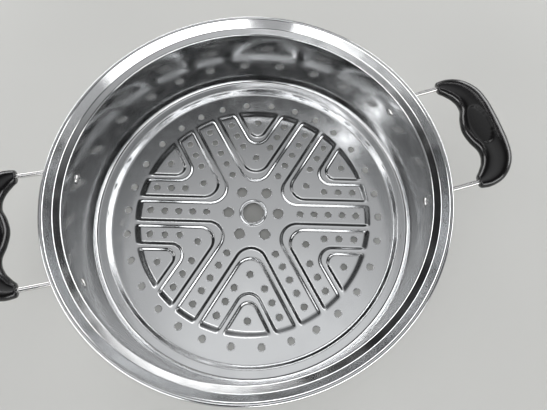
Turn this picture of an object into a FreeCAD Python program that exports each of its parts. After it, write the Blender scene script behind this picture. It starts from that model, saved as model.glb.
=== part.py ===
import FreeCAD, Part
import os
import re

import Sketcher

# Stovetop steamer tier: a drawn stainless shell with a perforated, embossed base, and two moulded
# grips on wire legs that are riveted to its wall. Millimetres, +Z up, +X along the two handles,
# origin at the middle of the flat ring that the tier rests on.

SIZES = {
    # Drawn shell, its inner skin: the wall, then in to the spigot and out to the rolled bead
    "sheet_thickness": 0.7,
    "wall_radius": 150.0,
    "wall_top": 85.4,
    "foot_bend": 2.2,
    "ledge_width": 9.6,
    "spigot_lean": 2.8,
    "spigot_rise": 7.1,
    "seat_width": 5.7,
    "seat_rise": 2.6,
    "collar_lean": 4.0,
    "collar_rise": 8.8,
    "bead_width": 3.8,
    "bead_depth": 4.0,
    "bead_bevel": 1.2,
    # Raised field of the base, inside the flat ring that the tier rests on
    "flat_ring_width": 22.3,
    "field_slope": 6.4,
    "press_lift": 1.5,
    "press_slope": 3.1,
    "hub_lip_width": 3.3,
    "hub_lip_slope": 1.5,
    "hub_lip_rise": 1.4,
    # Holes of the base, their circles counted out from the hub and in from the field and spigot
    "hub_hole_radius": 10.0,
    "medium_hole_radius": 5.0,
    "small_hole_radius": 3.0,
    "medium_step": 14.3,
    "spoke_step": 21.8,
    "field_inset": 8.0,
    "ring_inset": 14.6,
    # Wire legs, their flattened tabs and the rivets
    "wire_radius": 2.0,
    "leg_offset": 46.0,
    "knee_drop": 1.2,
    "knee_bend": 9.0,
    "leg_reach": 50.0,
    "rivet_drop": 20.4,
    "tab_width": 9.0,
    "tab_length": 14.0,
    "tab_thickness": 1.8,
    "tab_taper": 6.0,
    "rivet_radius": 2.0,
    "rivet_head_radius": 4.6,
    "rivet_head_rise": 1.8,
    "rivet_tail_radius": 3.6,
    "rivet_tail_rise": 1.4,
    "rivet_bevel": 1.0,
    # Moulded grips, measured from the knees of the legs
    "grip_start": 36.2,
    "grip_run": 36.8,
    "grip_neck_radius": 5.2,
    "grip_half_height": 7.6,
    "grip_hull_half_height": 4.8,
    "grip_hull_bevel": 3.0,
    "grip_crown_bevel": 5.8,
    "grip_shoulder_bevel": 3.0,
    "dish_half_length": 17.0,
    "dish_half_width": 8.2,
    "dish_depth": 1.2,
    # Clearances and cuts
    "seat_gap": 0.1,
    "edge_match": 0.01,
    "overrun": 5.0,
}
ANGLES = {
    "base_azimuth": -15.2,
    "sector": 60,
    "ring_near": 11.35,
    "ring_far": 23.7,
    "leg_slope": 8.25,
}
# Widths, roundings and hole places of the pressed pattern, as shares of the field's radius
PATTERN_SHARES = {
    "spoke_half": 0.0744,
    "petal_round": 0.1552,
    "groove": 0.0826,
    "strip_round": 0.1111,
    "strip": 0.1276,
    "strip_inside_round": 0.1221,
    "inner_groove": 0.0808,
    "triangle_round": 0.0634,
    "strip_pitch": 0.1309,
    "apex_hole": 0.5482,
}
# Corners of half the grip's plan, as shares of grip_run and of leg_offset, from the outer middle
# round to the inner middle. The neck's corners, between, follow the wire and its neck radius.
GRIP_OUTER_SHARES = [(0.997, 0.196), (0.97, 0.478), (0.897, 0.717), (0.742, 0.92), (0.524, 1.061)]
GRIP_INNER_SHARES = [(0.163, 0.75), (0.255, 0.598), (0.272, 0.446), (0.201, 0.283), (0.133, 0.109)]
GRIP_NECK_SHARES = [(0.266, 1), (0.0, 1), (0.0, -1)]
SPOKE_HOLES = 5
STRIP_HOLES = 3
HOLE_SIDES = 8
LARGE_HOLE_SIDES = 12
WIRE_SIDES = 10
RIVET_SIDES = 12
DISH_SIDES = 14
KNEE_CHORDS = 3

doc = FreeCAD.newDocument("steamer_tier")
sheet = doc.addObject("Spreadsheet::Sheet", "sizes")
NAMES = {**SIZES, **ANGLES, **PATTERN_SHARES}
for row, (alias, value) in enumerate(NAMES.items(), 1):
    sheet.set(f"A{row}", alias)
    sheet.set(f"B{row}", str(value))
    sheet.setAlias(f"B{row}", alias)
doc.recompute()

FLAT, BEVEL, UPRIGHT = "0 deg", "45 deg", "90 deg"
SPIGOT_TOP = "(wall_radius - ledge_width)"
SPIGOT_FOOT = f"({SPIGOT_TOP} - spigot_lean)"
FIELD = f"({SPIGOT_FOOT} - flat_ring_width - field_slope)"
HUB_LIP = "(hub_hole_radius + hub_lip_width)"
MEDIUM_CIRCLE = "(hub_hole_radius + medium_step)"
SPOKE_FIRST = f"({MEDIUM_CIRCLE} + spoke_step)"
SPOKE_LAST = f"({FIELD} - field_inset)"
RING_CIRCLE = f"({SPIGOT_FOOT} - ring_inset)"
WALL_OUTER = "(wall_radius + sheet_thickness)"
RISER_RADIUS = f"({WALL_OUTER} + seat_gap + wire_radius)"
KNEE = f"sqrt({RISER_RADIUS} ^ 2 - leg_offset ^ 2)"
LEG_AZIMUTH = f"asin(leg_offset / {RISER_RADIUS})"
KNEE_HEIGHT = "(wall_top - knee_drop)"
RIVET_HEIGHT = f"({KNEE_HEIGHT} - rivet_drop)"


def cells(text):
    """The expression with the sheet's name before each alias."""
    return re.sub(r"[a-z_]+", lambda m: "sizes." + m[0] if m[0] in NAMES else m[0], str(text))


def worth(text):
    """The expression's present value."""
    found = sheet.evalExpression(cells(text))
    return float(getattr(found, "Value", found))


def bind(item, **places):
    """Binds properties, their dots written as double underscores, to expressions."""
    for place, text in places.items():
        item.setExpression(place.replace("__", "."), cells(text))
    return item


def add(kind, name, **values):
    item = doc.addObject(kind, name)
    for key, value in values.items():
        setattr(item, key, value)
    return item


def place(item, x="0", y="0", z="0", yaw="0", pitch="0"):
    spot = f"vector({x}; {y}; {z})"
    return bind(item, Placement=f"placement({spot}; rotation({yaw}; {pitch}; 0))")


def mirrored(source, name, normal):
    return add("Part::Mirroring", name, Source=source, Normal=normal)


def origin_of(body, role):
    return next(item for item in body.Origin.OriginFeatures if item.Role == role)


def sketch_on(body, name, role="XY_Plane", height="0", turn="0"):
    sketch = body.newObject("Sketcher::SketchObject", name)
    sketch.AttachmentSupport = (origin_of(body, role), [""])
    sketch.MapMode = "FlatFace"
    spot = f"placement(vector(0; 0; {height}); rotation({turn}; 0; 0))"
    return bind(sketch, AttachmentOffset=spot)


def dimension(sketch, kind, refs, text):
    number = sketch.addConstraint(Sketcher.Constraint(kind, *refs, worth(text)))
    sketch.setExpression(f"Constraints[{number}]", cells(text))


def hold(sketch, item, end, x, y):
    """Holds a point at the place that two expressions give."""
    for kind, text, axis in (("DistanceX", x, -2), ("DistanceY", y, -1)):
        if text == "0":
            sketch.addConstraint(Sketcher.Constraint("PointOnObject", item, end, axis))
        else:
            dimension(sketch, kind, (-1, 1, item, end), text)


def outline(sketch, corners):
    """A closed outline of straight sides through corners, each two expressions."""
    points = [FreeCAD.Vector(worth(x), worth(y), 0) for x, y in corners]
    for start, end in zip(points, points[1:] + points[:1]):
        sketch.addGeometry(Part.LineSegment(start, end))
    for side, (x, y) in enumerate(corners):
        after = (side + 1) % len(corners)
        sketch.addConstraint(Sketcher.Constraint("Coincident", side, 2, after, 1))
        hold(sketch, side, 1, x, y)


def padded(body, sketch, length, back=False):
    pad = body.newObject("PartDesign::Pad", f"{sketch.Label}_pad")
    pad.Profile = sketch
    pad.Reversed = back
    bind(pad, Length=length)
    doc.recompute()
    return pad


def bevelled(body, height, size):
    """Bevels the edges that lie at one height above the body's base plane."""
    base = body.Tip
    level = worth(height)
    rim = []
    for number, edge in enumerate(base.Shape.Edges, 1):
        box = edge.BoundBox
        if max(abs(box.ZMin - level), abs(box.ZMax - level)) < worth("edge_match"):
            rim.append(f"Edge{number}")
    bevel = body.newObject("PartDesign::Chamfer", f"{base.Label}_bevel")
    bevel.Base = (base, rim)
    bind(bevel, Size=size)
    doc.recompute()
    return bevel


def round_of(sides, radius, across="1"):
    """Corners of a regular outline, its second direction stretched by a share."""
    turns = [f"{(corner + 0.5) * 360 / sides}" for corner in range(sides)]
    return [(f"{radius} * cos({turn})", f"{across} * {radius} * sin({turn})") for turn in turns]


def revolve(body, sketch, name):
    turned = body.newObject("PartDesign::Revolution", name)
    turned.Profile = sketch
    turned.ReferenceAxis = (sketch, ["V_Axis"])
    return turned


def far_skin(before, after):
    """Where a bend between two slopes lies on the sheet's far side, across and down."""
    half = f"(({before}) + ({after})) / 2"
    stretch = f"cos((({before}) - ({after})) / 2)"
    return f"sheet_thickness * sin({half}) / {stretch}", f"sheet_thickness * cos({half}) / {stretch}"


def drawn_sheet():
    """The sheet with a plain base: its section, two skins and the bead, turned about the axis."""
    body = add("PartDesign::Body", "drawn_sheet")
    section = sketch_on(body, "sheet_section", "XZ_Plane")
    spigot = "atan(spigot_rise / spigot_lean)"
    seat = "atan(seat_rise / seat_width)"
    collar = "atan(collar_rise / collar_lean)"
    ledge = "sheet_thickness + spigot_rise"
    collar_foot = "wall_radius + seat_width"
    seat_top = "wall_top + seat_rise"
    rim = f"{collar_foot} + collar_lean"
    brim = f"{seat_top} + collar_rise"
    under = f"{brim} - bead_depth"
    bends = [
        (SPIGOT_FOOT, "sheet_thickness", FLAT, spigot),
        (SPIGOT_TOP, ledge, spigot, FLAT),
        ("wall_radius - foot_bend", ledge, FLAT, BEVEL),
        ("wall_radius", f"{ledge} + foot_bend", BEVEL, UPRIGHT),
        ("wall_radius", "wall_top", UPRIGHT, seat),
        (collar_foot, seat_top, seat, collar),
    ]
    bead = [
        (rim, brim),
        (f"{rim} + bead_width - bead_bevel", brim),
        (f"{rim} + bead_width", f"{brim} - bead_bevel"),
        (f"{rim} + bead_width", under),
        (f"{rim} - bead_depth / tan({collar}) + sheet_thickness / sin({collar})", under),
    ]
    far = []
    for x, y, before, after in bends:
        across, down = far_skin(before, after)
        far.append((f"{x} + {across}", f"{y} - {down}"))
    far[0] = (far[0][0], "0")
    near = [("0", "sheet_thickness")] + [(x, y) for x, y, _, _ in bends]
    outline(section, near + bead + far[::-1] + [("0", "0")])
    revolve(body, section, "sheet_turned")
    return body


def petal(body, name, height, edge, rounding, reach):
    """The outline between two spokes: two sides beside them, a round apex and an end arc."""
    sketch = sketch_on(body, name, height=height, turn="base_azimuth + sector / 2")
    middle = f"({edge} + {rounding}) / sin(sector / 2)"
    touch = f"{middle} - ({rounding}) * sin(sector / 2)"
    beside = f"({rounding}) * cos(sector / 2)"
    along = f"sqrt(({reach}) ^ 2 - ({edge}) ^ 2)"
    end = f"{along} * sin(sector / 2) - ({edge}) * cos(sector / 2)"
    far = (worth(reach) ** 2 - worth(end) ** 2) ** 0.5
    inner = [FreeCAD.Vector(worth(touch), side * worth(beside), 0) for side in (-1, 1)]
    outer = [FreeCAD.Vector(far, side * worth(end), 0) for side in (-1, 1)]
    tip = FreeCAD.Vector(worth(middle) - worth(rounding), 0, 0)
    sketch.addGeometry(Part.Arc(inner[1], tip, inner[0]))
    sketch.addGeometry(Part.LineSegment(inner[0], outer[0]))
    sketch.addGeometry(Part.Arc(outer[0], FreeCAD.Vector(worth(reach), 0, 0), outer[1]))
    sketch.addGeometry(Part.LineSegment(outer[1], inner[1]))
    for side in range(4):
        after = (side + 1) % 4
        sketch.addConstraint(Sketcher.Constraint("Coincident", side, 2, after, 1))
    for arc in (0, 2):
        sketch.addConstraint(Sketcher.Constraint("Symmetric", arc, 1, arc, 2, -1))
    sketch.addConstraint(Sketcher.Constraint("Coincident", 2, 3, -1, 1))
    dimension(sketch, "DistanceX", (-1, 1, 0, 3), middle)
    dimension(sketch, "DistanceX", (-1, 1, 0, 1), touch)
    dimension(sketch, "DistanceY", (-1, 1, 2, 2), end)
    dimension(sketch, "Radius", (0,), rounding)
    dimension(sketch, "Radius", (2,), reach)
    return sketch


def press_form(name, floor, level, inset):
    """The raised field on a floor: turned, then drafted petals cut from it and put back by turns."""
    body = add("PartDesign::Body", name)
    raised = f"{level} + press_lift"
    lip = f"{raised} + hub_lip_rise"
    foot = f"{FIELD} + field_slope - {inset}"
    head = f"{FIELD} - {inset}"
    section = sketch_on(body, f"{name}_section", "XZ_Plane")
    outline(section, [
        ("0", floor),
        (foot, floor),
        (foot, level),
        (head, raised),
        (f"{HUB_LIP} - {inset}", raised),
        (f"{HUB_LIP} - hub_lip_slope - {inset}", lip),
        ("0", lip),
    ])
    revolve(body, section, f"{name}_field")
    spoke_edge = f"{FIELD} * spoke_half"
    strip_edge = f"{FIELD} * (spoke_half + groove)"
    inside_edge = f"{strip_edge} + {FIELD} * strip"
    triangle_edge = f"{inside_edge} + {FIELD} * inner_groove"
    beyond = f"{foot} + overrun"
    out, back = "PartDesign::SubtractiveLoft", "PartDesign::AdditiveLoft"
    low, high = f"press_slope - {inset}", f"0 - {inset}"
    steps = [
        ("groove_cut", out, spoke_edge, "petal_round", 1, (beyond, beyond)),
        ("strip_back", back, strip_edge, "strip_round", -1, (foot, head)),
        ("inner_groove_cut", out, inside_edge, "strip_inside_round", 1, (beyond, beyond)),
        ("triangle_back", back, triangle_edge, "triangle_round", -1, (foot, head)),
    ]
    for step, kind, edge, rounding, way, reaches in steps:
        sections = []
        for part, spot, run, reach in zip(("foot", "head"), (level, raised), (low, high), reaches):
            edge_at = f"{edge} + {way} * ({run})"
            round_at = f"{FIELD} * {rounding} - {way} * ({run})"
            label = f"{name}_{step}_{part}"
            sections.append(petal(body, label, spot, edge_at, round_at, reach))
        loft = body.newObject(kind, f"{name}_{step}")
        loft.Profile = sections[0]
        loft.Sections = sections[1:]
        loft.Ruled = True
        pattern = body.newObject("PartDesign::PolarPattern", f"{name}_{step}_round")
        pattern.Originals = [loft]
        pattern.Axis = (origin_of(body, "Z_Axis"), [""])
        pattern.Angle = 360
        bind(pattern, Occurrences="360 / sector")
        body.Tip = pattern
    return body


def holes():
    """Prisms for all holes of the base, on the spokes, the strips, the triangles and the ring."""
    spots = [("hub", "hub_hole_radius", "0", "0", "0", LARGE_HOLE_SIDES)]
    spoke_pitch = f"(({SPOKE_LAST} - {SPOKE_FIRST}) / {SPOKE_HOLES - 1})"
    strip_line = f"({FIELD} * (spoke_half + groove + strip / 2))"
    last = f"sqrt({SPOKE_LAST} ^ 2 - {strip_line} ^ 2)"
    for k in range(int(360 / ANGLES["sector"])):
        spoke = f"(base_azimuth + {k} * sector)"
        petal_axis = f"({spoke} + sector / 2)"
        spots.append(("medium", "medium_hole_radius", MEDIUM_CIRCLE, "0", spoke, LARGE_HOLE_SIDES))
        small = [(f"({SPOKE_FIRST} + {n} * {spoke_pitch})", "0", spoke) for n in range(SPOKE_HOLES)]
        for turn in ("0", "ring_near", "-ring_near", "ring_far", "-ring_far"):
            small.append((RING_CIRCLE, "0", f"({spoke} + {turn})"))
        small.append((f"({FIELD} * apex_hole)", "0", petal_axis))
        small.append((SPOKE_LAST, "0", petal_axis))
        for n in range(STRIP_HOLES):
            along = f"({last} - {n} * {FIELD} * strip_pitch)"
            small.append((along, strip_line, spoke))
            small.append((along, f"(-{strip_line})", spoke))
        spots += [("small", "small_hole_radius", *spot, HOLE_SIDES) for spot in small]
    punches = []
    for kind, radius, along, beside, turn, sides in spots:
        punch = add("Part::Prism", f"{kind}_hole", Polygon=sides)
        height = "2 * overrun + sheet_thickness + press_lift + hub_lip_rise"
        bind(punch, Circumradius=radius, Height=height)
        x = f"{along} * cos({turn}) - {beside} * sin({turn})"
        y = f"{along} * sin({turn}) + {beside} * cos({turn})"
        punches.append(place(punch, x, y, "-overrun", turn))
    return punches


def leg():
    """Wire from its flattened tab up beside the wall, round a knee and out under the collar."""
    body = add("PartDesign::Body", "leg_body")
    foot = f"{RIVET_HEIGHT} + tab_length / 2"
    corner = f"({KNEE_HEIGHT} - knee_bend * tan((90 - leg_slope) / 2))"
    spots = [("0", foot)]
    for chord in range(KNEE_CHORDS + 1):
        turn = f"({chord} / {KNEE_CHORDS} * (90 - leg_slope))"
        x = f"knee_bend * (1 - cos({turn}))" if chord else "0"
        spots.append((x, f"{corner} + knee_bend * sin({turn})"))
    spots.append(("leg_reach * cos(leg_slope)", f"{KNEE_HEIGHT} + leg_reach * sin(leg_slope)"))
    path = sketch_on(body, "leg_path", "XZ_Plane")
    points = [FreeCAD.Vector(worth(x), worth(y), 0) for x, y in spots]
    for side, (start, end) in enumerate(zip(points, points[1:])):
        path.addGeometry(Part.LineSegment(start, end))
        if side:
            path.addConstraint(Sketcher.Constraint("Coincident", side - 1, 2, side, 1))
        hold(path, side, 1, *spots[side])
    hold(path, len(points) - 2, 2, *spots[-1])
    wire = sketch_on(body, "leg_wire", height=foot)
    outline(wire, round_of(WIRE_SIDES, "wire_radius"))
    pipe = body.newObject("PartDesign::AdditivePipe", "leg_pipe")
    pipe.Profile = wire
    pipe.Spine = (path, [f"Edge{side}" for side in range(1, len(points))])
    pipe.Transition = "Right corner"
    body.Tip = pipe
    half, low, top = "tab_width / 2", f"{RIVET_HEIGHT} - tab_length / 2", f"{foot} + tab_taper"
    tab = body.newObject("Sketcher::SketchObject", "leg_tab")
    tab.AttachmentSupport = (origin_of(body, "YZ_Plane"), [""])
    tab.MapMode = "FlatFace"
    back = f"vector(-wire_radius * sin({LEG_AZIMUTH}); 0; -wire_radius * cos({LEG_AZIMUTH}))"
    bind(tab, AttachmentOffset=f"placement({back}; rotation(0; {LEG_AZIMUTH}; 0))")
    right = [(half, low), (half, foot), ("wire_radius", top)]
    outline(tab, right + [(f"-({x})", y) for x, y in right[::-1]])
    padded(body, tab, "tab_thickness")
    place(body, KNEE, "leg_offset")
    bored = add("Part::Cut", "right_rear_leg", Base=body, Tool=rivet_bore)
    return bored


def rivet():
    """A rivet through the wall and the tab: shank, head inside and tail set on the tab."""
    body = add("PartDesign::Body", "right_rear_rivet")
    head = "(sqrt(wall_radius ^ 2 - rivet_head_radius ^ 2) - seat_gap)"
    tail = f"({WALL_OUTER} + 2 * seat_gap + tab_thickness)"
    shank = sketch_on(body, "rivet_shank", height=head)
    outline(shank, round_of(RIVET_SIDES, "rivet_radius"))
    padded(body, shank, f"{tail} - {head}")
    ends = [
        ("rivet_head", head, "rivet_head_radius", "rivet_head_rise", True, f"{head} - rivet_head_rise"),
        ("rivet_tail", tail, "rivet_tail_radius", "rivet_tail_rise", False, f"{tail} + rivet_tail_rise"),
    ]
    for name, start, radius, rise, back, end in ends:
        rim = sketch_on(body, name, height=start)
        outline(rim, round_of(RIVET_SIDES, radius))
        padded(body, rim, rise, back)
        bevelled(body, end, "rivet_bevel")
    return place(body, z=RIVET_HEIGHT, yaw=LEG_AZIMUTH, pitch="90")


def grip_corners(outer, neck, inner):
    """The grip's plan from half of it: places along and beside the wires."""
    half = [(f"grip_start + {x} * grip_run", f"{y} * leg_offset") for x, y in outer]
    for x, side in neck:
        half.append((f"grip_start + {x} * grip_run", f"leg_offset + {side} * grip_neck_radius"))
    half += [(f"grip_start + {x} * grip_run", f"{y} * leg_offset") for x, y in inner]
    return half + [(x, f"-({y})") for x, y in half[::-1]]


def slab(name, corners, half_height, bevels):
    """A plan padded to both sides of the middle, its rims bevelled once or more."""
    body = add("PartDesign::Body", name)
    plan = sketch_on(body, f"{name}_plan", height=f"-{half_height}")
    outline(plan, corners)
    padded(body, plan, f"2 * {half_height}")
    for size in bevels:
        for side in ("", "-"):
            bevelled(body, f"{side}{half_height}", size)
    return body


def grip():
    """The moulded grip: a hull with its two necks, a crown, a dish on top and two blind sockets."""
    whole = grip_corners(GRIP_OUTER_SHARES, GRIP_NECK_SHARES, GRIP_INNER_SHARES)
    middle = grip_corners(GRIP_OUTER_SHARES, [], GRIP_INNER_SHARES)
    hull = slab("grip_hull", whole, "grip_hull_half_height", ["grip_hull_bevel"])
    crown_bevels = ["grip_crown_bevel", "grip_shoulder_bevel"]
    crown = slab("grip_crown", middle, "grip_half_height", crown_bevels)
    bow = add("Part::MultiFuse", "grip_bow", Shapes=[hull, crown], Refine=True)
    dish = add("PartDesign::Body", "grip_dish")
    floor = "grip_half_height - dish_depth"
    rim = sketch_on(dish, "dish_plan", height=floor)
    across = "dish_half_length / dish_half_width"
    outline(rim, round_of(DISH_SIDES, "dish_half_width", across))
    padded(dish, rim, "dish_depth + overrun")
    bevelled(dish, floor, "dish_depth")
    tools = [place(dish, "grip_start + grip_run / 2")]
    for side in ("", "-"):
        socket = add("Part::Prism", "grip_socket", Polygon=WIRE_SIDES)
        bind(socket, Circumradius="wire_radius + seat_gap", Height="leg_reach + seat_gap")
        tools.append(place(socket, "0", f"{side}leg_offset", pitch="90"))
    cuts = add("Part::Compound", "grip_cuts", Links=tools)
    moulded = add("Part::Cut", "right_grip", Base=bow, Tool=cuts)
    return place(moulded, KNEE, "0", KNEE_HEIGHT, pitch="-leg_slope")


rivet_bore = add("Part::Prism", "rivet_bore", Polygon=RIVET_SIDES)
bind(rivet_bore, Circumradius="rivet_radius + seat_gap")
bind(rivet_bore, Height="sheet_thickness + tab_thickness + 2 * overrun")
bore_start = "(wall_radius - overrun)"
place(
    rivet_bore,
    f"{bore_start} * cos({LEG_AZIMUTH})",
    f"{bore_start} * sin({LEG_AZIMUTH})",
    RIVET_HEIGHT,
    LEG_AZIMUTH,
    "90",
)
raised = add("Part::MultiFuse", "raised_sheet", Refine=True)
raised.Shapes = [drawn_sheet(), press_form("impression", "0", "sheet_thickness", "0")]
inset = "sheet_thickness * tan(atan(press_lift / press_slope) / 2)"
pressed = add("Part::Cut", "pressed_sheet", Base=raised)
pressed.Tool = press_form("press_punch", "-overrun", "0", inset)
punches = holes()
Y_AXIS, X_AXIS = FreeCAD.Vector(0, 1, 0), FreeCAD.Vector(1, 0, 0)
right_bores = [rivet_bore, mirrored(rivet_bore, "front_bore", Y_AXIS)]
left_bores = [mirrored(item, "left_bore", X_AXIS) for item in right_bores]
punched = add("Part::Compound", "punches", Links=punches + right_bores + left_bores)
shell = add("Part::Cut", "tier_shell", Base=pressed, Tool=punched)
leg_piece = leg()
rivet_piece = rivet()
right_grip = grip()
pieces = [shell, right_grip, mirrored(right_grip, "left_grip", X_AXIS)]
for item, kind in ((leg_piece, "leg"), (rivet_piece, "rivet")):
    front = mirrored(item, f"right_front_{kind}", Y_AXIS)
    pieces += [item, front]
    pieces.append(mirrored(item, f"left_rear_{kind}", X_AXIS))
    pieces.append(mirrored(front, f"left_front_{kind}", X_AXIS))
doc.recompute()

for item in doc.Objects:
    if "Invalid" in item.State or "Error" in item.State:
        raise RuntimeError(f"{item.Name}: {item.State}")
os.makedirs("parts", exist_ok=True)
for item in pieces:
    shape = item.Shape
    if shape.isNull() or not shape.isValid():
        raise RuntimeError(f"{item.Label} has no valid shape")
    shape.exportStep(f"parts/{item.Label}.step")
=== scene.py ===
import math

import bmesh
import bpy
from mathutils import Matrix, Vector, kdtree
from mathutils.geometry import delaunay_2d_cdt


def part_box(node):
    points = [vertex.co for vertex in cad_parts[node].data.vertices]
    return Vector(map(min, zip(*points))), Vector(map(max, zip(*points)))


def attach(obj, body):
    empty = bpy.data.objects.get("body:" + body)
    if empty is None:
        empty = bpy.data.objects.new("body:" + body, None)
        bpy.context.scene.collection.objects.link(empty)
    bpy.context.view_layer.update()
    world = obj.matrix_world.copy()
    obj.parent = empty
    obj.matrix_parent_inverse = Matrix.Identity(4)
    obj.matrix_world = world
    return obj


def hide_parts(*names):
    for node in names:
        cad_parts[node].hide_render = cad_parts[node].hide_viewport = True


bl_info = {
    "name": "Stovetop Steamer Tier",
    "version": (1, 0, 0),
    "blender": (4, 5, 0),
    "location": "3D View > Sidebar > Steamer Tier",
    "description": "Builds a drawn stainless steamer tier, its grips, legs and rivets, and a studio",
    "category": "Object",
}

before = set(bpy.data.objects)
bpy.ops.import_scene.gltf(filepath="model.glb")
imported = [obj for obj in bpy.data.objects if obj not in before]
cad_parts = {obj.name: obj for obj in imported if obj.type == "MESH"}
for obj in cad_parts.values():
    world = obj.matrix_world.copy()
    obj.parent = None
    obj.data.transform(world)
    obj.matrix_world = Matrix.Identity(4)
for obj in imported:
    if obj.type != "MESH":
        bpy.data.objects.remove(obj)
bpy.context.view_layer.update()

MM = 0.001
_, SHELL_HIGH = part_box("tier_shell")
SPOKES = 6
SECTOR = math.radians(360 / SPOKES)
SPOKE_AZIMUTH = math.radians(-15.2)


def linear(code):
    """A colour written as sRGB hex, as the linear numbers that Blender keeps."""
    parts = [int(code[place : place + 2], 16) / 255 for place in (1, 3, 5)]
    return [p / 12.92 if p <= 0.04045 else ((p + 0.055) / 1.055) ** 2.4 for p in parts]


def size(name, description, millimetres):
    """A length that the user may change, given in millimetres."""
    return bpy.props.FloatProperty(
        name=name, description=description, default=millimetres * MM, min=0.0, unit="LENGTH"
    )


def colour(name, description, code):
    """A colour that the user may change, given as sRGB hex."""
    return bpy.props.FloatVectorProperty(
        name=name, description=description, default=linear(code), size=3, subtype="COLOR", min=0.0, max=1.0
    )


class SteamerShellSizes(bpy.types.PropertyGroup):
    """The drawn sheet from its base to its rolled bead."""

    sheet: size("Sheet", "Thickness of the drawn sheet", 0.7)
    spigot_foot: size("Spigot foot", "Radius where the flat ring turns up", 137.6)
    spigot_top: size("Spigot top", "Radius where the spigot meets the ledge", 140.4)
    ledge: size("Ledge height", "Height of the ledge that stacks on a pot", 7.8)
    wall: size("Wall radius", "Inside radius of the wall", 150.0)
    wall_top: size("Wall top", "Height where the wall turns out to the seat", 85.4)
    seat: size("Seat radius", "Radius where the seat turns up to the collar", 155.7)
    seat_top: size("Seat height", "Height where the seat turns up to the collar", 88.0)
    bead: size("Bead radius", "Radius of the rolled bead's section", 2.05)
    rim: size("Rim radius", "Outside radius of the rolled bead", SHELL_HIGH.x / MM - 0.05)
    brim: size("Brim height", "Height of the rolled bead's top", SHELL_HIGH.z / MM)
    segments: bpy.props.IntProperty(
        name="Segments", description="Faces round the shell", default=288, min=24
    )


class SteamerBaseSizes(bpy.types.PropertyGroup):
    """The pressed pattern and the holes of the base."""

    lift: size("Lift", "How far the pattern stands over the flat ring", 1.5)
    slope: size("Slope", "Run of the pressed slopes", 3.1)
    field: size("Field radius", "Radius where the raised field starts to fall", 108.9)
    field_slope: size("Field slope", "Run of the fall from the field to the flat ring", 6.4)
    lip: size("Lip radius", "Foot radius of the drawn lip round the middle hole", 13.3)
    lip_rise: size("Lip rise", "Height of the lip over the field", 1.4)
    hub_hole: size("Middle hole", "Radius of the middle hole", 10.0)
    medium_hole: size("Medium holes", "Radius of the six holes round the middle", 5.0)
    small_hole: size("Small holes", "Radius of all other holes", 3.0)


class SteamerLegSizes(bpy.types.PropertyGroup):
    """The wire legs and the rivets that hold them."""

    wire: size("Wire radius", "Radius of the wire", 2.0)
    offset: size("Leg offset", "Distance of each leg from the middle of its handle", 46.0)
    knee: size("Knee height", "Height of the knee's corner", 84.2)
    bend: size("Knee bend", "Radius of the knee along the wire's middle", 9.0)
    reach: size("Leg reach", "Length of the wire from the knee into the grip", 50.0)
    rivet: size("Rivet height", "Height of the rivets", 63.8)
    head: size("Head radius", "Radius of the domed head inside the wall", 4.6)
    head_rise: size("Head rise", "Height of the domed head", 1.8)
    rise: bpy.props.FloatProperty(
        name="Rise", description="Slope of the legs' upper run", default=math.radians(8.25), subtype="ANGLE"
    )


class SteamerGripSizes(bpy.types.PropertyGroup):
    """The moulded grips."""

    dish_length: size("Dish length", "Half length of the thumb dish", 17.0)
    dish_width: size("Dish width", "Half width of the thumb dish", 8.2)
    dish_depth: size("Dish depth", "Depth of the thumb dish under the crown", 1.2)


class SteamerFinishes(bpy.types.PropertyGroup):
    """Colours of the object and of the studio."""

    steel: colour("Steel", "Polished stainless sheet", "#CDCECF")
    wire: colour("Wire", "Polished stainless wire and rivets", "#D6D5D4")
    phenolic: colour("Phenolic", "Moulded black phenolic", "#0C0B0C")
    floor: colour("Floor", "Studio floor", "#CFCFCC")
    backdrop: colour("Backdrop", "Light round the studio", "#DCDDDE")


class SteamerStudio(bpy.types.PropertyGroup):
    """Lamps of the studio."""

    tube_power: bpy.props.FloatProperty(name="Tubes", description="Power of each long lamp", default=1.5)
    side_power: bpy.props.FloatProperty(name="Side", description="Power of the side lamp", default=0.3)
    low_power: bpy.props.FloatProperty(name="Low", description="Power of each low lamp", default=40.0)
    horizon: bpy.props.FloatProperty(name="Horizon", description="Light near the floor", default=0.8)
    high: bpy.props.FloatProperty(name="High", description="Light between horizon and ceiling", default=0.04)
    ceiling: bpy.props.FloatProperty(name="Ceiling", description="Light of the ceiling", default=0.85)
    zenith: bpy.props.FloatProperty(name="Zenith", description="Light added straight overhead", default=0.45)


class SteamerTierSettings(bpy.types.PropertyGroup):
    """All settings of the steamer tier."""

    shell: bpy.props.PointerProperty(type=SteamerShellSizes)
    base: bpy.props.PointerProperty(type=SteamerBaseSizes)
    legs: bpy.props.PointerProperty(type=SteamerLegSizes)
    grips: bpy.props.PointerProperty(type=SteamerGripSizes)
    finishes: bpy.props.PointerProperty(type=SteamerFinishes)
    studio: bpy.props.PointerProperty(type=SteamerStudio)


def smooth(share):
    """0 to 1 with a soft start and end."""
    share = min(1.0, max(0.0, share))
    return share * share * (3 - 2 * share)


def polar(radius, turn, height=0.0):
    return Vector((radius * math.cos(turn), radius * math.sin(turn), height))


def mesh_object(name, points, faces):
    mesh = bpy.data.meshes.new(name)
    mesh.from_pydata(points, [], faces)
    mesh.update()
    made = bpy.data.objects.new(name, mesh)
    bpy.context.scene.collection.objects.link(made)
    return made


def close_up(obj, reach=0.02 * MM):
    """Merges touching points and turns the faces outwards."""
    work = bmesh.new()
    work.from_mesh(obj.data)
    bmesh.ops.remove_doubles(work, verts=work.verts, dist=reach)
    bmesh.ops.recalc_face_normals(work, faces=work.faces)
    work.to_mesh(obj.data)
    work.free()
    return obj


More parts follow.
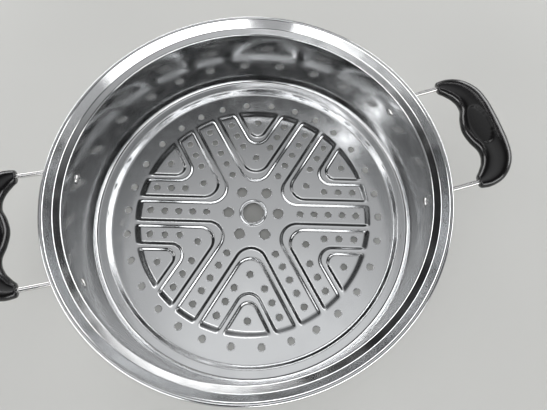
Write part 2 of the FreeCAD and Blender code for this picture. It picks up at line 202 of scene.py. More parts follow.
def finished(obj, material, slot, *nodes):
    """Gives a piece its material and its body and hides the solids that it stands for; the slot is not used."""
    obj.data.materials.clear()
    obj.data.materials.append(material)
    obj.data.polygons.foreach_set("material_index", [0] * len(obj.data.polygons))
    obj.data.polygons.foreach_set("use_smooth", [True] * len(obj.data.polygons))
    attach(obj, "root")
    if nodes:
        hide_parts(*nodes)
    return obj


def lofted(name, rings, mirror=False):
    """A closed skin over rings of points, each end closed by a fan."""
    count = len(rings[0])
    points = [p for ring in rings for p in ring]
    faces = []
    for step in range(len(rings) - 1):
        for spot in range(count):
            beside = (spot + 1) % count
            low, high = step * count, (step + 1) * count
            faces.append((low + spot, low + beside, high + beside, high + spot))
    for start, ring in ((0, rings[0]), (len(points) - count, rings[-1])):
        middle = len(points)
        points.append(sum(ring, Vector()) / count)
        faces += [(start + spot, start + (spot + 1) % count, middle) for spot in range(count)]
    if mirror:
        points = [Vector((-p.x, p.y, p.z)) for p in points]
    return close_up(mesh_object(name, points, faces), 0.001 * MM)


# Node trees


def add_node(tree, kind, settings=None, values=None):
    """One node with its settings and its inputs: a socket is linked to, anything else is set."""
    made = tree.nodes.new(kind)
    for key, value in (settings or {}).items():
        setattr(made, key, value)
    for key, value in (values or {}).items():
        if isinstance(value, bpy.types.NodeSocket):
            tree.links.new(value, made.inputs[key])
        else:
            made.inputs[key].default_value = value
    return made


def geometry_tree(name, inputs):
    """An empty tree with geometry in and out and named inputs; gives the tree and the two ends."""
    tree = bpy.data.node_groups.new(name, "GeometryNodeTree")
    tree.interface.new_socket(name="Geometry", in_out="INPUT", socket_type="NodeSocketGeometry")
    for label, kind in inputs:
        tree.interface.new_socket(name=label, in_out="INPUT", socket_type=kind)
    tree.interface.new_socket(name="Geometry", in_out="OUTPUT", socket_type="NodeSocketGeometry")
    return tree, add_node(tree, "NodeGroupInput").outputs, add_node(tree, "NodeGroupOutput")


def grown(obj, tree, values):
    """Runs a tree on an object and keeps the result as its plain mesh."""
    modifier = obj.modifiers.new(tree.name, "NODES")
    modifier.node_group = tree
    for item in tree.interface.items_tree:
        if item.item_type == "SOCKET" and item.in_out == "INPUT" and item.name in values:
            modifier[item.identifier] = values[item.name]
    bpy.context.view_layer.update()
    seen = obj.evaluated_get(bpy.context.evaluated_depsgraph_get())
    plain = bpy.data.meshes.new_from_object(seen)
    obj.modifiers.remove(modifier)
    obj.data = plain
    plain.name = obj.name
    return obj


def turned_tree():
    """Turns a section, a chain of points in X and Z, about the Z axis."""
    inputs = [("Segments", "NodeSocketInt"), ("Points", "NodeSocketInt"), ("Material", "NodeSocketMaterial")]
    tree, given, out = geometry_tree("turned_section", inputs)
    columns = add_node(tree, "ShaderNodeMath", None, {0: given["Segments"], 1: 1.0})
    grid = add_node(tree, "GeometryNodeMeshGrid", None, {
        "Size X": 1.0,
        "Size Y": 1.0,
        "Vertices X": columns.outputs[0],
        "Vertices Y": given["Points"],
    })
    place = add_node(tree, "GeometryNodeInputPosition")
    apart = add_node(tree, "ShaderNodeSeparateXYZ", None, {0: place.outputs[0]})
    share = add_node(tree, "ShaderNodeMath", None, {0: apart.outputs[0], 1: 0.5})
    turn = add_node(tree, "ShaderNodeMath", {"operation": "MULTIPLY"}, {0: share.outputs[0], 1: math.tau})
    row_share = add_node(tree, "ShaderNodeMath", None, {0: apart.outputs[1], 1: 0.5})
    last = add_node(tree, "ShaderNodeMath", {"operation": "SUBTRACT"}, {0: given["Points"], 1: 1.0})
    row = add_node(
        tree, "ShaderNodeMath", {"operation": "MULTIPLY"}, {0: row_share.outputs[0], 1: last.outputs[0]}
    )
    index = add_node(tree, "FunctionNodeFloatToInt", {"rounding_mode": "ROUND"}, {0: row.outputs[0]})
    spot = add_node(tree, "GeometryNodeSampleIndex", {"data_type": "FLOAT_VECTOR"}, {
        "Geometry": given["Geometry"],
        "Value": place.outputs[0],
        "Index": index.outputs[0],
    })
    around = add_node(tree, "ShaderNodeVectorRotate", {"rotation_type": "Z_AXIS"}, {
        "Vector": spot.outputs[0],
        "Angle": turn.outputs[0],
    })
    moved = add_node(tree, "GeometryNodeSetPosition", None, {
        "Geometry": grid.outputs["Mesh"],
        "Position": around.outputs[0],
    })
    welded = add_node(tree, "GeometryNodeMergeByDistance", None, {
        "Geometry": moved.outputs[0],
        "Distance": 0.002 * MM,
    })
    real = add_node(tree, "GeometryNodeRealizeInstances", None, {"Geometry": welded.outputs[0]})
    painted = add_node(tree, "GeometryNodeSetMaterial", None, {
        "Geometry": real.outputs[0],
        "Material": given["Material"],
    })
    tree.links.new(painted.outputs[0], out.inputs[0])
    return tree


def edge_tree():
    """Sets a rounded punched edge round each point of a piece."""
    inputs = [
        ("Hole Radius", "NodeSocketFloat"),
        ("Edge Radius", "NodeSocketFloat"),
        ("Segments", "NodeSocketInt"),
        ("Material", "NodeSocketMaterial"),
    ]
    tree, given, out = geometry_tree("punched_edges", inputs)
    middle = add_node(tree, "ShaderNodeMath", None, {0: given["Hole Radius"], 1: given["Edge Radius"]})
    path = add_node(tree, "GeometryNodeCurvePrimitiveCircle", None, {
        "Resolution": given["Segments"],
        "Radius": middle.outputs[0],
    })
    round_edge = add_node(tree, "GeometryNodeCurvePrimitiveCircle", None, {
        "Resolution": 6,
        "Radius": given["Edge Radius"],
    })
    ring = add_node(tree, "GeometryNodeCurveToMesh", None, {
        "Curve": path.outputs[0],
        "Profile Curve": round_edge.outputs[0],
    })
    spread = add_node(tree, "GeometryNodeInstanceOnPoints", None, {
        "Points": given["Geometry"],
        "Instance": ring.outputs[0],
    })
    real = add_node(tree, "GeometryNodeRealizeInstances", None, {"Geometry": spread.outputs[0]})
    painted = add_node(tree, "GeometryNodeSetMaterial", None, {
        "Geometry": real.outputs[0],
        "Material": given["Material"],
    })
    tree.links.new(painted.outputs[0], out.inputs[0])
    return tree


def rivet_tree():
    """Sets a rivet on each point of a piece, its axis level and through the middle of the shell."""
    inputs = [("Rivet", "NodeSocketObject"), ("Material", "NodeSocketMaterial")]
    tree, given, out = geometry_tree("set_rivets", inputs)
    rivet = add_node(tree, "GeometryNodeObjectInfo", None, {"Object": given["Rivet"]})
    place = add_node(tree, "GeometryNodeInputPosition")
    level = add_node(tree, "ShaderNodeVectorMath", {"operation": "MULTIPLY"}, {
        0: place.outputs[0],
        1: (1.0, 1.0, 0.0),
    })
    outward = add_node(tree, "FunctionNodeAlignRotationToVector", {"axis": "Z"}, {
        "Vector": level.outputs[0],
    })
    spread = add_node(tree, "GeometryNodeInstanceOnPoints", None, {
        "Points": given["Geometry"],
        "Instance": rivet.outputs["Geometry"],
        "Rotation": outward.outputs[0],
    })
    real = add_node(tree, "GeometryNodeRealizeInstances", None, {"Geometry": spread.outputs[0]})
    painted = add_node(tree, "GeometryNodeSetMaterial", None, {
        "Geometry": real.outputs[0],
        "Material": given["Material"],
    })
    tree.links.new(painted.outputs[0], out.inputs[0])
    return tree


# Finishes


def surface(name, values):
    """A material with one Principled shader; gives the material, its tree and the shader."""
    made = bpy.data.materials.new(name)
    made.use_nodes = True
    shader = made.node_tree.nodes["Principled BSDF"]
    for key, value in values.items():
        shader.inputs[key].default_value = value
    return made, made.node_tree, shader


def polished_stainless_sheet(finishes):
    """Deep-drawn 18/8 stainless sheet, buffed inside and out.

    The eye gets near-mirror steel whose reflections swim a little, because the press leaves the
    flats a hair wavy, and a fine haze of buffing marks about 0.3 mm apart, drawn as coarse as 1 mm.
    """
    made, tree, shader = surface("polished_stainless_sheet", {
        "Base Color": (*finishes.steel, 1.0),
        "Metallic": 1.0,
        "Roughness": 0.14,
    })
    place = add_node(tree, "ShaderNodeTexCoord").outputs["Object"]
    haze = add_node(tree, "ShaderNodeTexNoise", None, {"Vector": place, "Scale": 60.0, "Detail": 1.0})
    dull = add_node(tree, "ShaderNodeMapRange", None, {
        "Value": haze.outputs[0],
        "From Min": 0.3,
        "From Max": 0.7,
        "To Min": 0.10,
        "To Max": 0.19,
    })
    tree.links.new(dull.outputs[0], shader.inputs["Roughness"])
    wave = add_node(tree, "ShaderNodeTexNoise", None, {"Vector": place, "Scale": 22.0, "Detail": 1.0})
    bump = add_node(tree, "ShaderNodeBump", None, {
        "Strength": 0.18,
        "Distance": 0.0002,
        "Height": wave.outputs[0],
    })
    tree.links.new(bump.outputs[0], shader.inputs["Normal"])
    return made


def polished_stainless_wire(finishes):
    """Drawn stainless wire, bent and tumbled bright: it gives crisp, slightly soft highlights."""
    made, _, _ = surface("polished_stainless_wire", {
        "Base Color": (*finishes.wire, 1.0),
        "Metallic": 1.0,
        "Roughness": 0.16,
    })
    return made


def moulded_phenolic(finishes):
    """Compression-moulded black phenolic: a hard gloss over a skin that is faintly uneven."""
    made, tree, shader = surface("moulded_phenolic", {
        "Base Color": (*finishes.phenolic, 1.0),
        "Roughness": 0.2,
        "IOR": 1.55,
    })
    place = add_node(tree, "ShaderNodeTexCoord").outputs["Object"]
    skin = add_node(tree, "ShaderNodeTexNoise", None, {"Vector": place, "Scale": 260.0, "Detail": 2.0})
    bump = add_node(tree, "ShaderNodeBump", None, {
        "Strength": 0.12,
        "Distance": 0.0002,
        "Height": skin.outputs[0],
    })
    tree.links.new(bump.outputs[0], shader.inputs["Normal"])
    return made


def finish_of(name, maker):
    """The material of that name, made when it is first asked for."""
    return bpy.data.materials.get(name) or maker(bpy.context.scene.steamer_tier.finishes)


def sheet_steel():
    return finish_of("polished_stainless_sheet", polished_stainless_sheet)


def wire_steel():
    return finish_of("polished_stainless_wire", polished_stainless_wire)


def phenolic():
    return finish_of("moulded_phenolic", moulded_phenolic)


# Drawn shell


def filleted(corners, step=math.radians(12)):
    """A chain of points through corners, each given as across, up and the radius of its bend."""
    chain = [Vector(corners[0][:2])]
    for before, here, after in zip(corners, corners[1:], corners[2:]):
        corner, radius = Vector(here[:2]), here[2]
        back = (Vector(before[:2]) - corner).normalized()
        ahead = (Vector(after[:2]) - corner).normalized()
        between = back.angle(ahead)
        reach = radius / math.tan(between / 2)
        middle = corner + (back + ahead).normalized() * (radius / math.sin(between / 2))
        start, end = corner + back * reach - middle, corner + ahead * reach - middle
        turn = start.angle_signed(end)
        count = max(2, round(abs(turn) / step))
        for number in range(count + 1):
            part = -turn * number / count
            spun = Vector((
                start.x * math.cos(part) - start.y * math.sin(part),
                start.x * math.sin(part) + start.y * math.cos(part),
            ))
            chain.append(middle + spun)
    chain.append(Vector(corners[-1][:2]))
    return chain


def beside(chain, distance):
    """The chain moved to its right-hand side."""
    moved = []
    for number, spot in enumerate(chain):
        before = chain[max(0, number - 1)]
        after = chain[min(len(chain) - 1, number + 1)]
        along = (after - before).normalized()
        moved.append(spot + Vector((along.y, -along.x)) * distance)
    return moved


BASE_EDGE_SHARE = 0.975


def shell_section(shell):
    """Section of the sheet outside the base: inner skin, rolled bead and outer skin."""
    centre = Vector((shell.rim - shell.bead, shell.brim - shell.bead))
    seat = Vector((shell.seat, shell.seat_top))
    way = centre - seat
    lean = math.atan2(way.y, way.x) + math.asin(shell.bead / way.length)
    tangent = seat + Vector((math.cos(lean), math.sin(lean))) * math.sqrt(way.length_squared - shell.bead**2)
    edge = shell.spigot_foot * BASE_EDGE_SHARE
    inner = filleted([
        (edge, shell.sheet),
        (shell.spigot_foot, shell.sheet, 1.6 * MM),
        (shell.spigot_top, shell.ledge, 1.4 * MM),
        (shell.wall, shell.ledge, 3.4 * MM),
        (shell.wall, shell.wall_top, 1.8 * MM),
        (*seat, 1.6 * MM),
        (*tangent,),
    ])
    inner[1:1] = [Vector((edge + (shell.spigot_foot - edge) * 0.5, shell.sheet))]
    wall = [spot for spot in inner if abs(spot.x - shell.wall) < 0.01 * MM]
    low, high = wall[0], wall[-1]
    place = inner.index(high)
    inner[place:place] = [low.lerp(high, share / 6) for share in range(1, 6)]
    outer = beside(inner, shell.sheet)
    outer[0].y = 0.0
    start = lean + math.pi / 2
    crease = math.acos(1 - shell.sheet / shell.bead)
    roll = []
    for number in range(1, 32):
        turn = start - (math.tau - crease) * number / 31
        roll.append(centre + Vector((math.cos(turn), math.sin(turn))) * shell.bead)
    return inner + roll + outer[:-1][::-1]


PRESSED_EDGES = [
    # distance from the spokes' middles, rounding at the apex, 1 where the inside is lower
    (8.1 * MM, 16.9 * MM, 1),
    (17.1 * MM, 12.1 * MM, -1),
    (31.0 * MM, 13.3 * MM, 1),
    (39.8 * MM, 6.9 * MM, -1),
]
SOFT = 0.4 * MM


def inside_petal(along, across, edge, rounding):
    """How far a point of a sector lies inside a pressed edge; the petal's axis is the first direction."""
    apex = (edge + rounding) / math.sin(SECTOR / 2)
    across = abs(across)
    if along < apex and across < (apex - along) * math.tan(SECTOR):
        return rounding - math.hypot(apex - along, across)
    return along * math.sin(SECTOR / 2) - across * math.cos(SECTOR / 2) - edge


def press_height(x, y, base):
    """Height of the pressed pattern over the flat ring."""
    radius = math.hypot(x, y)
    turn = (math.atan2(y, x) - SPOKE_AZIMUTH) % SECTOR - SECTOR / 2
    along, across = radius * math.cos(turn), radius * math.sin(turn)
    run = base.slope + 2 * SOFT
    falls = []
    for edge, rounding, way in PRESSED_EDGES:
        inside = inside_petal(along, across, edge, rounding)
        falls.append(smooth((SOFT + inside) / run) if way > 0 else 1 - smooth((SOFT - inside) / run))
    spokes, strips, inner, triangles = falls
    pattern = max(1 - spokes, min(strips, 1 - inner), triangles)
    field = 1 - smooth((radius - base.field + SOFT) / (base.field_slope + 2 * SOFT))
    lip = smooth((base.lip + 0.2 * MM - radius) / (1.9 * MM))
    over = smooth((base.hub_hole + 1.3 * MM - radius) / (2.4 * MM))
    return base.lift * pattern * field + base.lip_rise * (lip - 0.3 * over)


def hole_spots(base):
    """Every hole of the base: its place and its kind."""
    spots = [(Vector((0.0, 0.0)), "hub")]
    circle = 100.9 * MM
    strip = 24.0 * MM
    along_strip = math.sqrt(circle**2 - strip**2)
    for spoke in range(SPOKES):
        turn = SPOKE_AZIMUTH + spoke * SECTOR
        spots.append((polar(24.3 * MM, turn).xy, "medium"))
        small = [polar((46.1 + 13.7 * place) * MM, turn) for place in range(5)]
        small += [polar(123 * MM, turn + math.radians(step)) for step in (0, 11.35, -11.35, 23.7, -23.7)]
        small += [polar(reach, turn + SECTOR / 2) for reach in (59.7 * MM, circle)]
        for place in range(3):
            along = along_strip - place * 14.25 * MM
            small += [Matrix.Rotation(turn, 3, "Z") @ Vector((along, side * strip, 0)) for side in (1, -1)]
        spots += [(spot.xy, "small") for spot in small]
    return spots


EDGE_ROUND = 0.37 * MM


def base_skin(shell, base):
    """The base as a flat net of triangles that follows the pressed edges and leaves out the holes."""
    points, edges = [], []

    def line(chain, closed=False):
        start = len(points)
        points.extend(chain)
        edges.extend((start + n, start + n + 1) for n in range(len(chain) - 1))
        if closed:
            edges.append((start + len(chain) - 1, start))

    def circle(radius, count, middle=Vector((0, 0)), offset=0.0):
        line([middle + polar(radius, (n + offset) * math.tau / count).xy for n in range(count)], True)

    circle(shell.spigot_foot * BASE_EDGE_SHARE, shell.segments)
    for share in (-0.12, 0.0, 0.12, 0.26, 0.4, 0.55, 0.7, 0.85, 1.0, 1.12):
        circle(base.field + share * base.field_slope, 180)
    for radius in (14.6, 13.6, 13.1, 12.6, 12.1, 11.6, 11.1, 10.7):
        circle(radius * MM, 64)
    for radius in (130.0, 117.5):
        circle(radius * MM, 96)
    reach = base.field + 1.1 * base.field_slope
    offsets = (-1.0, -0.4, 0.1, 0.6, 1.1, 1.6, 2.1, 2.6, 3.1, 3.5, 4.1)
    for spoke in range(SPOKES):
        face = Matrix.Rotation(SPOKE_AZIMUTH + (spoke + 0.5) * SECTOR, 2)
        for edge, rounding, way in PRESSED_EDGES:
            apex = (edge + rounding) / math.sin(SECTOR / 2)
            for offset in offsets:
                at = edge + way * offset * MM
                bend = rounding - way * offset * MM
                tangent = apex * math.cos(SECTOR / 2)
                end = math.sqrt(reach**2 - at**2)
                count = max(2, round((end - tangent) / (9 * MM)))
                side = []
                for n in range(count + 1):
                    along = end + (tangent - end) * n / count
                    side.append(polar(along, SECTOR / 2).xy + polar(at, SECTOR / 2 - math.pi / 2).xy)
                steps = max(6, round(bend * 2.1 / (1.3 * MM)))
                for n in range(1, steps):
                    turn = math.radians(120 + 120 * n / steps)
                    side.append(Vector((apex, 0)) + polar(bend, turn).xy)
                side += [Vector((p.x, -p.y)) for p in side[: count + 1][::-1]]
                line([face @ p for p in side])
    holes = []
    for middle, kind in hole_spots(base):
        radius = getattr(base, f"{kind}_hole") + EDGE_ROUND
        circle(radius, {"hub": 64, "medium": 28, "small": 20}[kind], middle)
        if kind != "hub":
            circle(radius + 0.5 * MM, {"medium": 28, "small": 20}[kind], middle, 0.5)
        holes.append((middle, radius))
    spots, _, triangles, *_ = delaunay_2d_cdt(points, edges, [], 0, 1e-7)
    near = kdtree.KDTree(len(holes))
    for number, (middle, _) in enumerate(holes):
        near.insert((*middle, 0), number)
    near.balance()
    kept = []
    for triangle in triangles:
        middle = sum((spots[n] for n in triangle), Vector((0, 0))) / 3
        _, number, gap = near.find((*middle, 0))
        hub_clear = middle.length > holes[0][1]
        if gap > holes[number][1] and hub_clear:
            kept.append(tuple(triangle))
    return spots, kept


def drawn_base(shell, base):
    """Both skins of the base with the walls of its holes."""
    spots, triangles = base_skin(shell, base)
    points = []
    for spot in spots:
        points.append((spot.x, spot.y, shell.sheet + press_height(spot.x, spot.y, base)))
    under = len(points)
    points += [(x, y, z - shell.sheet) for x, y, z in points]
    faces = list(triangles) + [tuple(n + under for n in t[::-1]) for t in triangles]
    used = {}
    for triangle in triangles:
        for n in range(3):
            a, b = triangle[n], triangle[(n + 1) % 3]
            used[(a, b)] = used.get((a, b), 0) + 1
    outside = shell.spigot_foot * BASE_EDGE_SHARE - 0.1 * MM
    for a, b in used:
        if (b, a) in used or spots[a].length > outside:
            continue
        faces.append((b, a, a + under, b + under))
    return mesh_object("drawn_base", points, faces)


class STEAMER_OT_shell(bpy.types.Operator):
    """Build the drawn shell with its pressed, perforated base"""

    bl_idname = "steamer.shell"
    bl_label = "Drawn shell"

    def execute(self, context):
        settings = context.scene.steamer_tier
        shell = settings.shell
        section = [(spot.x, 0.0, spot.y) for spot in shell_section(shell)]
        around = mesh_object("drawn_shell", section, [])
        grown(around, turned_tree(), {
            "Segments": shell.segments,
            "Points": len(section),
            "Material": sheet_steel(),
        })
        base = drawn_base(shell, settings.base)
        work = bmesh.new()
        work.from_mesh(around.data)
        work.from_mesh(base.data)
        work.to_mesh(around.data)
        work.free()
        bpy.data.objects.remove(base)
        close_up(around, 0.004 * MM)
        finished(around, sheet_steel(), "shell_steel", "tier_shell")
        return {"FINISHED"}


class STEAMER_OT_edges(bpy.types.Operator):
    """Set the rounded edges of the punched holes"""

    bl_idname = "steamer.edges"
    bl_label = "Punched edges"

    def execute(self, context):
        settings = context.scene.steamer_tier
        shell, base = settings.shell, settings.base
        tree = edge_tree()
        joined = bmesh.new()
        for kind, segments in (("hub", 64), ("medium", 28), ("small", 16)):
            places = []
            for spot, found in hole_spots(base):
                if found != kind:
                    continue
                radius = getattr(base, f"{kind}_hole")
                level = press_height(spot.x + radius + EDGE_ROUND, spot.y, base)
                places.append((spot.x, spot.y, level + shell.sheet / 2))
            rings = mesh_object(f"{kind}_edges", places, [])
            grown(rings, tree, {
                "Hole Radius": getattr(base, f"{kind}_hole"),
                "Edge Radius": EDGE_ROUND,
                "Segments": segments,
                "Material": sheet_steel(),
            })
            joined.from_mesh(rings.data)
            bpy.data.objects.remove(rings)
        edges = mesh_object("punched_edges", [], [])
        joined.to_mesh(edges.data)
        joined.free()
        finished(edges, sheet_steel(), "shell_steel")
        return {"FINISHED"}


# Wire legs


def leg_rings(shell, legs):
    """Sections of the leg from its flattened tab up the wall, round the knee and into the grip."""
    riser = shell.wall + shell.sheet + 0.1 * MM + legs.wire
    azimuth = math.asin(legs.offset / riser)
    knee = riser * math.cos(azimuth)
    tab_bottom, tab_top = legs.rivet - 7 * MM, legs.rivet + 7 * MM
    tab_half, tab_thick = 4.5 * MM, 0.9 * MM
    tab_middle = riser - legs.wire + tab_thick
    turn_up = math.pi / 2 - legs.rise
    corner = legs.knee - legs.bend * math.tan(turn_up / 2)
    rings = []

    def ring(middle, across, through, half, thick, power):
        spots = []
        for n in range(24):
            turn = math.tau * n / 24
            c, s = math.cos(turn), math.sin(turn)
            wide = math.copysign(abs(c) ** (2 / power), c) * half
            deep = math.copysign(abs(s) ** (2 / power), s) * thick
            spots.append(middle + across * wide + through * deep)
        rings.append(spots)

    def upright(height, half, thick, radius, power, turn=azimuth):
        across = Vector((-math.sin(turn), math.cos(turn), 0))
        through = Vector((math.cos(turn), math.sin(turn), 0))
        shift = polar(riser, azimuth) - through * (riser - radius)
        ring(shift + Vector((0, 0, height)), across, through, half, thick, power)

    for n in range(8):
        lean = math.radians(90 * (n + 0.35) / 8)
        round_end = tab_half * math.sin(lean)
        height = tab_bottom + tab_half * (1 - math.cos(lean))
        upright(height, round_end, tab_thick * min(1, 0.45 + n * 0.14), tab_middle, 3.2)
    for height in (legs.rivet - 2 * MM, legs.rivet, legs.rivet + 3 * MM, tab_top - 2 * MM):
        upright(height, tab_half, tab_thick, tab_middle, 3.2)
    for n in range(1, 9):
        part = smooth(n / 8)
        height = tab_top - 2 * MM + (corner - tab_top + 2 * MM) * n / 8
        half = tab_half + (legs.wire - tab_half) * part
        thick = tab_thick + (legs.wire - tab_thick) * part
        radius = tab_middle + (riser - tab_middle) * part
        upright(height, half, thick, radius, 3.2 - 1.2 * part, azimuth * (1 - part))
    for n in range(1, 13):
        turn = turn_up * n / 12
        middle = Vector((knee + legs.bend * (1 - math.cos(turn)), legs.offset, corner + legs.bend * math.sin(turn)))
        through = Vector((math.cos(turn), 0, -math.sin(turn)))
        ring(middle, Vector((0, 1, 0)), through, legs.wire, legs.wire, 2)
    out = Vector((math.cos(legs.rise), 0, math.sin(legs.rise)))
    down = Vector((math.sin(legs.rise), 0, -math.cos(legs.rise)))
    for reach in (0.5, 0.75, 1.0):
        middle = Vector((knee, legs.offset, legs.knee)) + out * (legs.reach * reach)
        ring(middle, Vector((0, 1, 0)), down, legs.wire, legs.wire, 2)
    return rings


class STEAMER_OT_legs(bpy.types.Operator):
    """Bend the four wire legs"""

    bl_idname = "steamer.legs"
    bl_label = "Wire legs"

    def execute(self, context):
        settings = context.scene.steamer_tier
        rings = leg_rings(settings.shell, settings.legs)
        for end, front in (("rear", 1), ("front", -1)):
            turned = [[Vector((p.x, p.y * front, p.z)) for p in ring] for ring in rings]
            for side in ("right", "left"):
                leg = lofted(f"{side}_{end}_wire_leg", turned, side == "left")
                finished(leg, wire_steel(), "wire_steel", f"{side}_{end}_leg")
        return {"FINISHED"}


# Rivets


def rivet_section(shell, legs):
    """Section of a rivet that points along Z, its origin on the wall's inner skin."""
    head, rise = legs.head, legs.head_rise
    back = shell.wall - math.sqrt(shell.wall**2 - head**2) + 0.1 * MM
    tail_seat = shell.sheet + 0.2 * MM + 1.8 * MM
    chain = []
    for n in range(9):
        turn = math.radians(90 * n / 8)
        chain.append((head * math.sin(turn), 0.0, -back - rise * math.cos(turn)))
    chain += [(head - 0.1 * MM, 0.0, -back + 0.05 * MM), (2 * MM, 0.0, -back + 0.05 * MM)]
    chain += [(2 * MM, 0.0, tail_seat), (3.6 * MM, 0.0, tail_seat)]
    for n in range(7):
        turn = math.radians(90 * n / 6)
        chain.append((3.6 * MM * math.cos(turn), 0.0, tail_seat + 1.4 * MM * math.sin(turn)))
    return chain


class STEAMER_OT_rivets(bpy.types.Operator):
    """Turn a rivet and set it at the four legs"""

    bl_idname = "steamer.rivets"
    bl_label = "Rivets"

    def execute(self, context):
        settings = context.scene.steamer_tier
        shell, legs = settings.shell, settings.legs
        section = rivet_section(shell, legs)
        pattern = mesh_object("rivet_pattern", section, [])
        grown(pattern, turned_tree(), {"Segments": 32, "Points": len(section), "Material": wire_steel()})
        riser = shell.wall + shell.sheet + 0.1 * MM + legs.wire
        azimuth = math.asin(legs.offset / riser)
        turns = (azimuth, -azimuth, math.pi - azimuth, math.pi + azimuth)
        rivets = mesh_object("wall_rivets", [polar(shell.wall, turn, legs.rivet) for turn in turns], [])
        grown(rivets, rivet_tree(), {"Rivet": pattern, "Material": wire_steel()})
        bpy.data.objects.remove(pattern)
        close_up(rivets, 0.001 * MM)
        nodes = [f"{side}_{end}_rivet" for side in ("right", "left") for end in ("rear", "front")]
        finished(rivets, wire_steel(), "rivet_steel", *nodes)
        return {"FINISHED"}


# Moulded grips

GRIP_SECTIONS = [
    # in mm: along the wire from the knee, beside the handle's middle, half width, half height;
    # the last is the heading in degrees
    (36.2, 46.0, 5.2, 5.2, 0),
    (43.2, 44.2, 8.2, 5.9, -22),
    (51.2, 39.3, 10.6, 6.6, -44),
    (57.2, 30.5, 12.0, 7.2, -68),
    (59.1, 20.0, 12.9, 7.6, -88),
    (57.8, 10.0, 15.0, 7.6, -93),
    (56.9, 0.0, 16.1, 7.6, -90),
]
NECK_TRIMS = (0.86, 0.96)  # share of the section left at the rounded rims of the necks


def between(values, share):
    """A smooth value between the middle two of four."""
    a, b, c, d = values
    slope_b, slope_c = (c - a) / 2, (d - b) / 2
    square, cube = share**2, share**3
    return (
        (2 * cube - 3 * square + 1) * b
        + (cube - 2 * square + share) * slope_b
        + (3 * square - 2 * cube) * c
        + (cube - square) * slope_c
    )


def grip_rings(legs, grips, knee):
    """Sections of the bowed grip from one neck to the other, with the thumb dish let into its top."""
    far = [(a, -w, half, tall, -180 - turn) for a, w, half, tall, turn in GRIP_SECTIONS[:-1][::-1]]
    rows = GRIP_SECTIONS + far
    rows = [rows[0]] + rows + [rows[-1]]
    stations = []
    steps = 12
    for number in range(len(rows) - 3):
        for step in range(steps):
            group = rows[number : number + 4]
            stations.append([between([row[item] for row in group], step / steps) for item in range(5)])
    stations.append(list(rows[-1]))
    dish_middle = 54.6 * MM
    rings = []
    for number, (along, sideways, half, tall, heading) in enumerate(stations):
        turn = math.radians(heading)
        end = min(number, len(stations) - 1 - number)
        shrink = NECK_TRIMS[end] if end < len(NECK_TRIMS) else 1.0
        spots = []
        for n in range(72):
            angle = math.tau * n / 72
            c, s = math.cos(angle), math.sin(angle)
            power = 2 / (2.0 + 0.35 * smooth(end / 24))
            wide = math.copysign(abs(c) ** power, c) * half * shrink
            up = math.copysign(abs(s) ** power, s) * tall * shrink * MM
            a = (along - wide * math.sin(turn)) * MM
            w = (sideways + wide * math.cos(turn)) * MM
            if up > 0:
                reach = math.hypot((a - dish_middle) / grips.dish_width, w / grips.dish_length)
                floor = 7.6 * MM - grips.dish_depth - 0.35 * MM * max(0.0, 1 - reach**2)
                up += (min(up, floor) - up) * smooth((1.09 - reach) / 0.12)
            spot = Vector((
                knee + a * math.cos(legs.rise) - up * math.sin(legs.rise),
                w,
                legs.knee + a * math.sin(legs.rise) + up * math.cos(legs.rise),
            ))
            spots.append(spot)
        rings.append(spots)
    return rings


class STEAMER_OT_grips(bpy.types.Operator):
    """Mould the two grips"""

    bl_idname = "steamer.grips"
    bl_label = "Moulded grips"

    def execute(self, context):
        settings = context.scene.steamer_tier
        shell, legs = settings.shell, settings.legs
        riser = shell.wall + shell.sheet + 0.1 * MM + legs.wire
        knee = math.sqrt(riser**2 - legs.offset**2)
        rings = grip_rings(legs, settings.grips, knee)
        for side in ("right", "left"):
            grip = lofted(f"{side}_moulded_grip", rings, side == "left")
            finished(grip, phenolic(), "grip_phenolic", f"{side}_grip")
        return {"FINISHED"}


# Studio


def soft_lamp(name, power, place, along, across, up):
    """A rectangular soft lamp that faces the object, its long side turned along a direction."""
    light = bpy.data.lights.new(name, "AREA")
    light.shape = "RECTANGLE"
    light.size, light.size_y = across, up
    light.energy = power
    lamp = bpy.data.objects.new(name, light)
    bpy.context.scene.collection.objects.link(lamp)
    back = Vector(place).normalized()
    upward = back.cross(Vector(along)).normalized()
    side = upward.cross(back)
    lamp.matrix_world = Matrix.Translation(place) @ Matrix((side, upward, back)).transposed().to_4x4()
    return lamp


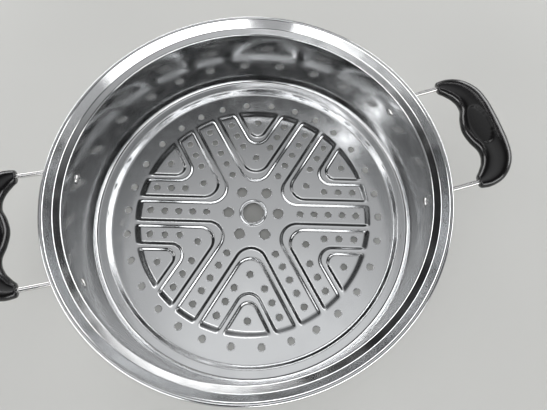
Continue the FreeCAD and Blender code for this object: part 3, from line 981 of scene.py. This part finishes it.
class STEAMER_OT_studio(bpy.types.Operator):
    """Set the floor, the light and the camera"""

    bl_idname = "steamer.studio"
    bl_label = "Studio"

    def execute(self, context):
        scene = context.scene
        settings = scene.steamer_tier
        finishes, studio = settings.finishes, settings.studio
        floor = mesh_object("studio_floor", [polar(1.5, math.tau * n / 96) for n in range(96)], [range(96)])
        matt, _, _ = surface("matt_floor_paint", {"Base Color": (*finishes.floor, 1.0), "Roughness": 0.85})
        floor.data.materials.append(matt)
        along = (-0.707, 0.707, 0.0)
        lamps = [
            soft_lamp("left_tube", studio.tube_power, (-0.51, -0.09, 1.41), along, 1.3, 0.1),
            soft_lamp("right_tube", studio.tube_power, (0.57, 0.89, 1.06), along, 1.3, 0.1),
            soft_lamp("side_lamp", studio.side_power, (-1.0, 0.51, 1.0), (0.45, 0.89, 0), 0.5, 0.4),
        ]
        for number, turn in enumerate((20, 110, 200, 290)):
            place = polar(2.4, math.radians(turn), 0.825)
            turned = polar(1.0, math.radians(turn + 90))
            lamps.append(soft_lamp(f"low_lamp_{number}", studio.low_power, place, turned, 3.3, 0.75))
        for lamp in lamps:
            lamp.visible_camera = False
        world = bpy.data.worlds.new("studio_air")
        scene.world = world
        world.use_nodes = True
        tree = world.node_tree
        air = tree.nodes["Background"]
        air.inputs["Color"].default_value = (*finishes.backdrop, 1.0)
        way = add_node(tree, "ShaderNodeTexCoord").outputs["Generated"]
        height = add_node(tree, "ShaderNodeSeparateXYZ", None, {0: way}).outputs[2]
        light = 0.0
        for start, end, low, high in (
            (0.1, 0.5, studio.horizon, studio.high),
            (0.80, 0.96, 0.0, studio.ceiling),
            (0.955, 0.993, 0.0, studio.zenith),
        ):
            fade = add_node(tree, "ShaderNodeMapRange", {"interpolation_type": "SMOOTHSTEP"}, {
                "Value": height,
                "From Min": start,
                "From Max": end,
                "To Min": low,
                "To Max": high,
            })
            light = add_node(tree, "ShaderNodeMath", None, {0: fade.outputs[0], 1: light}).outputs[0]
        tree.links.new(light, air.inputs["Strength"])
        lens = bpy.data.cameras.new("photo_camera")
        lens.sensor_width = 36
        lens.lens = 30.375
        lens.shift_x, lens.shift_y = -0.0160, -0.0809
        lens.clip_start = 0.01
        camera = bpy.data.objects.new("photo_camera", lens)
        scene.collection.objects.link(camera)
        camera.matrix_world = Matrix((
            (0.9711, 0.2118, -0.1098, -0.0113),
            (-0.2383, 0.8849, -0.4001, -0.1428),
            (0.0124, 0.4148, 0.9098, 0.4361),
            (0, 0, 0, 1),
        ))
        scene.camera = camera
        scene.view_settings.view_transform = "Standard"
        return {"FINISHED"}


STEPS = (
    STEAMER_OT_shell,
    STEAMER_OT_edges,
    STEAMER_OT_legs,
    STEAMER_OT_rivets,
    STEAMER_OT_grips,
    STEAMER_OT_studio,
)


class STEAMER_PT_sidebar(bpy.types.Panel):
    """The steps of the steamer tier, in order"""

    bl_idname = "STEAMER_PT_sidebar"
    bl_label = "Steamer Tier"
    bl_space_type = "VIEW_3D"
    bl_region_type = "UI"
    bl_category = "Steamer Tier"

    def draw(self, context):
        for step in STEPS:
            self.layout.operator(step.bl_idname)
        settings = context.scene.steamer_tier
        for group in (settings.shell, settings.base, settings.legs, settings.grips, settings.finishes, settings.studio):
            column = self.layout.column(align=True)
            for name in group.__annotations__:
                column.prop(group, name)


CLASSES = (
    SteamerShellSizes,
    SteamerBaseSizes,
    SteamerLegSizes,
    SteamerGripSizes,
    SteamerFinishes,
    SteamerStudio,
    SteamerTierSettings,
    *STEPS,
    STEAMER_PT_sidebar,
)


def register():
    for item in CLASSES:
        bpy.utils.register_class(item)
    bpy.types.Scene.steamer_tier = bpy.props.PointerProperty(type=SteamerTierSettings)


def unregister():
    del bpy.types.Scene.steamer_tier
    for item in reversed(CLASSES):
        bpy.utils.unregister_class(item)


def main():
    register()
    bpy.ops.steamer.shell()
    bpy.ops.steamer.edges()
    bpy.ops.steamer.legs()
    bpy.ops.steamer.rivets()
    bpy.ops.steamer.grips()
    bpy.ops.steamer.studio()


if __name__ == "__main__":
    main()
